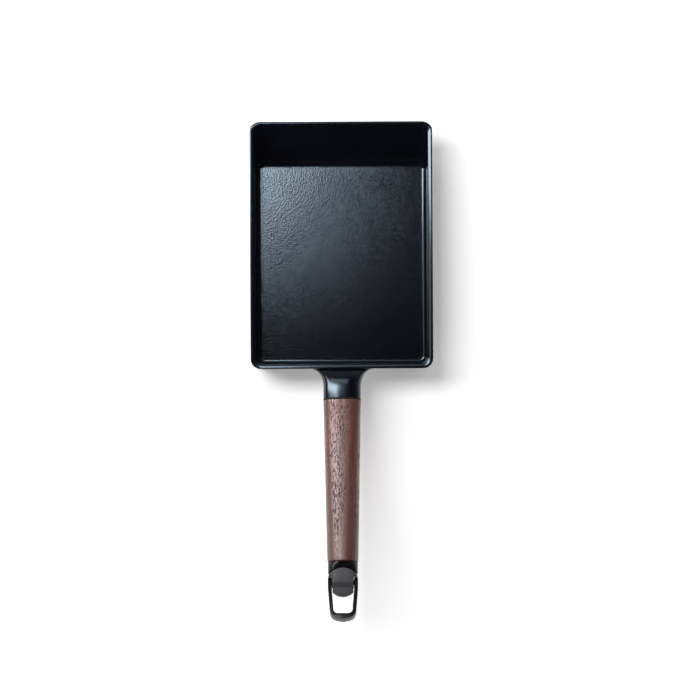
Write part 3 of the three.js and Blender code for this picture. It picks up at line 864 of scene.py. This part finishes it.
def walnut():
    """Oiled walnut, with its grain along the grip: growth bands, fibres and dark pores, a painted shade down
    its right side, and a darker brown towards its rear end.

    The grip's own Y is 0 at its front and -0.128 metres at its rear.
    """
    dark_band, light_band = tint(0.12, 0.028, 0.018), tint(0.24, 0.06, 0.04)
    dark_fibre, dull_patch = tint(0.045, 0.018, 0.013), tint(0.15, 0.044, 0.028)
    # The darkest brown is painted shade on the right side and also darkens the rear end; the pores' black is
    # their own colour
    shade_and_rear_brown, pore_black = tint(0.075, 0.013, 0.008), tint(0.03, 0.01, 0.008)
    pore_darkness, pore_dullness, fibre_relief = 0.62, 0.45, 0.35

    shader = Shader("oiled_walnut")
    place = shader.axes(shader.coordinates())
    bands_at = shader.coordinates((1, 0.07, 1))
    bands = shader.noise(bands_at, scale=170.0, detail=3.0, roughness=0.55, distortion=0.6)
    fibres = shader.noise(shader.coordinates((1, 0.02, 1)), scale=1500.0, detail=3.0, roughness=0.6)
    pores = shader.noise(shader.coordinates((1, 0.17, 1)), scale=1500.0, detail=1.0, distortion=0.5)
    clusters = shader.noise(bands_at, scale=260.0)
    cloud = shader.noise(shader.coordinates((1, 0.25, 1)), scale=60.0)

    pore = shader.math("MULTIPLY", shader.span(pores, (0.54, 0.61)), shader.span(clusters, (0.3, 0.55)))
    fewer_at_rear = shader.span(place["Y"], (-0.125, -0.085), (0.2, 1.0))
    pore = shader.math("MULTIPLY", pore, fewer_at_rear)
    # Painted shade: the colour darkens down the grip's right side, where light from the left falls off, and
    # the same dark brown darkens the rear end
    painted_right_shade = shader.span(place["X"], (0.0, 0.012), (0.0, 0.4))
    rear_end = shader.span(place["Y"], (-0.045, -0.125), (0.0, 0.5))
    right_shade_and_darker_rear = shader.math("ADD", painted_right_shade, rear_end, clamp=True)
    colour = shader.mix(shader.span(bands, MIDDLE), dark_band, light_band)
    colour = shader.mix(shader.span(fibres, (0.35, 0.75), (0.0, 0.45)), colour, dark_fibre)
    colour = shader.mix(shader.span(cloud, (0.35, 0.7), (0.0, 0.25)), colour, dull_patch)
    colour = shader.mix(right_shade_and_darker_rear, colour, shade_and_rear_brown)
    colour = shader.mix(shader.math("MULTIPLY", pore, pore_darkness), colour, pore_black)

    relief = shader.math("SUBTRACT", shader.math("MULTIPLY", fibres, fibre_relief), pore)
    normal = shader.bump(relief, distance=0.0001, strength=0.8)
    roughness = shader.span(fibres, MIDDLE, (0.34, 0.39))
    roughness = shader.math("ADD", roughness, shader.math("MULTIPLY", pore, pore_dullness))
    between_pores = shader.span(pores, (0.46, 0.38), (0.0, 0.055))
    roughness = shader.math("SUBTRACT", roughness, between_pores)
    duller_at_rear = shader.span(place["Y"], (-0.03, -0.125), (0.0, 0.1))
    roughness = shader.math("ADD", roughness, duller_at_rear)
    shader.set(Base_Color=colour, Roughness=roughness, Normal=normal, IOR=1.6)
    shader.set(Coat_Weight=1.0, Coat_Roughness=roughness, Coat_IOR=1.42, Coat_Normal=normal)
    return shader.material


def paint(name, texture, patches, tints, roughness, relief, ior):
    """Paint on metal, with a fine texture and a slightly uneven gloss."""
    shader = Shader(name)
    place = shader.coordinates()
    fine = shader.noise(place, scale=texture, roughness=0.6)
    cloud = shader.noise(place, scale=patches)
    shader.set(
        Base_Color=shader.mix(cloud, *tints),
        Roughness=shader.span(cloud, MIDDLE, roughness),
        Normal=shader.bump(fine, relief),
        IOR=ior,
    )
    return shader.material


def black_metal(name, roughness):
    """Satin black paint on steel."""
    tints = (tint(0.003, 0.003, 0.0035), tint(0.005, 0.005, 0.0058))
    return paint(
        name, texture=2600.0, patches=120.0, tints=tints, roughness=roughness, relief=0.00001, ior=1.35
    )


def grey_metal():
    """Matt dark grey paint on cast metal."""
    tints = (tint(0.06, 0.059, 0.067), tint(0.078, 0.077, 0.086))
    rough = (0.48, 0.58)
    return paint(
        "grey_paint", texture=2200.0, patches=160.0, tints=tints, roughness=rough, relief=0.00002, ior=1.38
    )


def plain_steel():
    """Plain turned steel, with fine marks round its length."""
    shader = Shader("plain_steel")
    marks = shader.noise(shader.coordinates((0.3, 4, 0.3)), scale=900.0, detail=3.0, roughness=0.6)
    shader.set(
        Base_Color=shader.mix(marks, tint(0.42, 0.43, 0.45), tint(0.58, 0.59, 0.6)),
        Metallic=1.0,
        Roughness=shader.span(marks, MIDDLE, (0.28, 0.4)),
        Normal=shader.bump(marks, distance=0.00001),
    )
    return shader.material


def matt_black(name, level):
    """Matt black rubber or nylon, with a fine mottle of darker spots."""
    spot_share = 0.7
    shader = Shader(name)
    mottle = shader.noise(shader.coordinates(), scale=1200.0, detail=3.0, roughness=0.6)
    shader.set(
        Base_Color=shader.mix(mottle, grey(level * spot_share), grey(level)),
        Roughness=shader.span(mottle, MIDDLE, (0.62, 0.78)),
        Normal=shader.bump(mottle, distance=0.00002),
    )
    return shader.material


# The object

def dress(piece, body, slot, material, *nodes):
    """Gives a piece its material, and puts it in the place of the solids that it stands for."""
    piece.data.materials.clear()
    piece.data.materials.append(material)
    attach(piece, body)
    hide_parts(*nodes)


dress(pan_shell(), "pan", "enamelled_iron", enamel(), "pan_body")
dress(walnut_grip(), "pan", "walnut", walnut(), "grip")
ferrule_paint = black_metal("ferrule_paint", roughness=(0.24, 0.3))
dress(ferrule(), "pan", "black_metal", ferrule_paint, "end_ferrule")
dress(knob(), "pan", "grey_metal", grey_metal(), "end_knob")
ring_paint = black_metal("ring_paint", roughness=(0.2, 0.26))
dress(hanging_ring(), "ring", "black_metal", ring_paint, "hanging_ring")

# The solids that are good as they are get a finish alone
steel = plain_steel()
nylon = matt_black("washer_nylon", level=0.02)
for name, material in {
    "neck_gasket": matt_black("gasket_rubber", level=0.012),
    "tie_rod": steel,
    "dowel": steel,
    "ring_pin": steel,
    "ring_washer_left": nylon,
    "ring_washer_right": nylon,
}.items():
    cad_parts[name].data.materials.clear()
    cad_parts[name].data.materials.append(material)


# Stage, light and camera

def table():
    """A wide white table, lifted to white where it is seen or mirrored, so that it keeps the shadow."""
    corners = [
        (-TABLE_HALF, -TABLE_HALF, -TABLE_DROP),
        (TABLE_HALF, -TABLE_HALF, -TABLE_DROP),
        (TABLE_HALF, TABLE_HALF, -TABLE_DROP),
        (-TABLE_HALF, TABLE_HALF, -TABLE_DROP),
    ]
    made = new_object("table", corners, [(0, 1, 2, 3)])
    shader = Shader("white_table")
    shader.tree.nodes.remove(shader.surface)
    rays = shader.node("ShaderNodeLightPath").outputs
    reflected = shader.math("ADD", rays["Is Glossy Ray"], rays["Is Transmission Ray"])
    seen = shader.math("ADD", rays["Is Camera Ray"], reflected, clamp=True)
    away = shader.node("ShaderNodeVectorMath", operation="LENGTH")
    shader.link(shader.coordinates(), away.inputs[0])
    fade = shader.span(away.outputs["Value"], TABLE_FADE)
    pale = shader.mix(fade, grey(TABLE_SEEN_NEAR), grey(TABLE_SEEN_FAR))
    diffuse = shader.node("ShaderNodeBsdfDiffuse")
    shader.link(shader.mix(seen, grey(TABLE_WHITE), pale), diffuse.inputs["Color"])
    lift = shader.node("ShaderNodeEmission")
    lift.inputs["Color"].default_value = grey(TABLE_LIFT)
    shader.link(seen, lift.inputs["Strength"])
    both = shader.node("ShaderNodeAddShader")
    shader.link(diffuse.outputs[0], both.inputs[0])
    shader.link(lift.outputs[0], both.inputs[1])
    shader.link(both.outputs[0], shader.tree.nodes["Material Output"].inputs["Surface"])
    made.data.materials.append(shader.material)


def softbox(name, place, size, watts, turn=0, only_mirrored=True):
    """A level lamp over the table, placed in metres, which is only mirrored or else only gives light."""
    data = bpy.data.lights.new(name, "AREA")
    data.shape = "RECTANGLE"
    data.size, data.size_y = size
    data.energy = watts
    lamp = bpy.data.objects.new(name, data)
    lamp.location = place
    lamp.rotation_euler.z = math.radians(turn)
    lamp.visible_camera = False
    lamp.visible_diffuse = not only_mirrored
    lamp.visible_glossy = only_mirrored
    bpy.context.scene.collection.objects.link(lamp)


def surroundings():
    """Pale walls under a dark ceiling, dimmer where they are mirrored, and dimmest behind the handle."""
    walls_end, ceiling_start = 0.5, 0.7
    behind_handle, behind_tub = (-0.2, 0.04), (0.6, 0.26)

    world = bpy.data.worlds.new("studio")
    bpy.context.scene.world = world
    world.use_nodes = True
    tree = world.node_tree
    background = tree.nodes["Background"]
    way = tree.nodes.new("ShaderNodeSeparateXYZ")
    tree.links.new(tree.nodes.new("ShaderNodeTexCoord").outputs["Generated"], way.inputs[0])
    fade = tree.nodes.new("ShaderNodeValToRGB")
    fade.color_ramp.elements[0].position = walls_end
    fade.color_ramp.elements[0].color = grey(1.0)
    fade.color_ramp.elements[1].position = ceiling_start
    fade.color_ramp.elements[1].color = grey(0.01)
    tree.links.new(way.outputs["Z"], fade.inputs["Fac"])
    tree.links.new(fade.outputs["Color"], background.inputs["Color"])
    ends = tree.nodes.new("ShaderNodeMapRange")
    tree.links.new(way.outputs["Y"], ends.inputs["Value"])
    ends.inputs["From Min"].default_value, ends.inputs["To Min"].default_value = behind_handle
    ends.inputs["From Max"].default_value, ends.inputs["To Max"].default_value = behind_tub
    strength = tree.nodes.new("ShaderNodeMix")
    is_mirrored = tree.nodes.new("ShaderNodeLightPath").outputs["Is Glossy Ray"]
    tree.links.new(is_mirrored, strength.inputs["Factor"])
    strength.inputs["A"].default_value = 1.0
    tree.links.new(ends.outputs["Result"], strength.inputs["B"])
    tree.links.new(strength.outputs["Result"], background.inputs["Strength"])


def camera():
    """Straight above the pan, with the handle at the bottom of the picture."""
    data = bpy.data.cameras.new("camera")
    data.lens = CAMERA_LENS
    data.sensor_width = CAMERA_SENSOR
    made = bpy.data.objects.new("camera", data)
    made.location = [number * MM for number in CAMERA_PLACE]
    made.rotation_euler.z = CAMERA_TURN
    bpy.context.scene.collection.objects.link(made)
    bpy.context.scene.camera = made


table()
softbox("key_lamp", (-0.625, 0.349, 1.026), size=(1.072, 0.454), watts=11.7, only_mirrored=False)
softbox("strip_lamp", (-0.725, 0.276, 0.821), size=(1.34, 0.19), watts=12.9, turn=-9)
softbox("far_edge_lamp", (-0.19, 0.475, 0.86), size=(0.62, 0.25), watts=0.9)
softbox("left_edge_lamp", (-0.52, 0.03, 0.86), size=(0.4, 0.3), watts=0.6)
surroundings()
camera()
bpy.context.scene.view_settings.view_transform = "Standard"
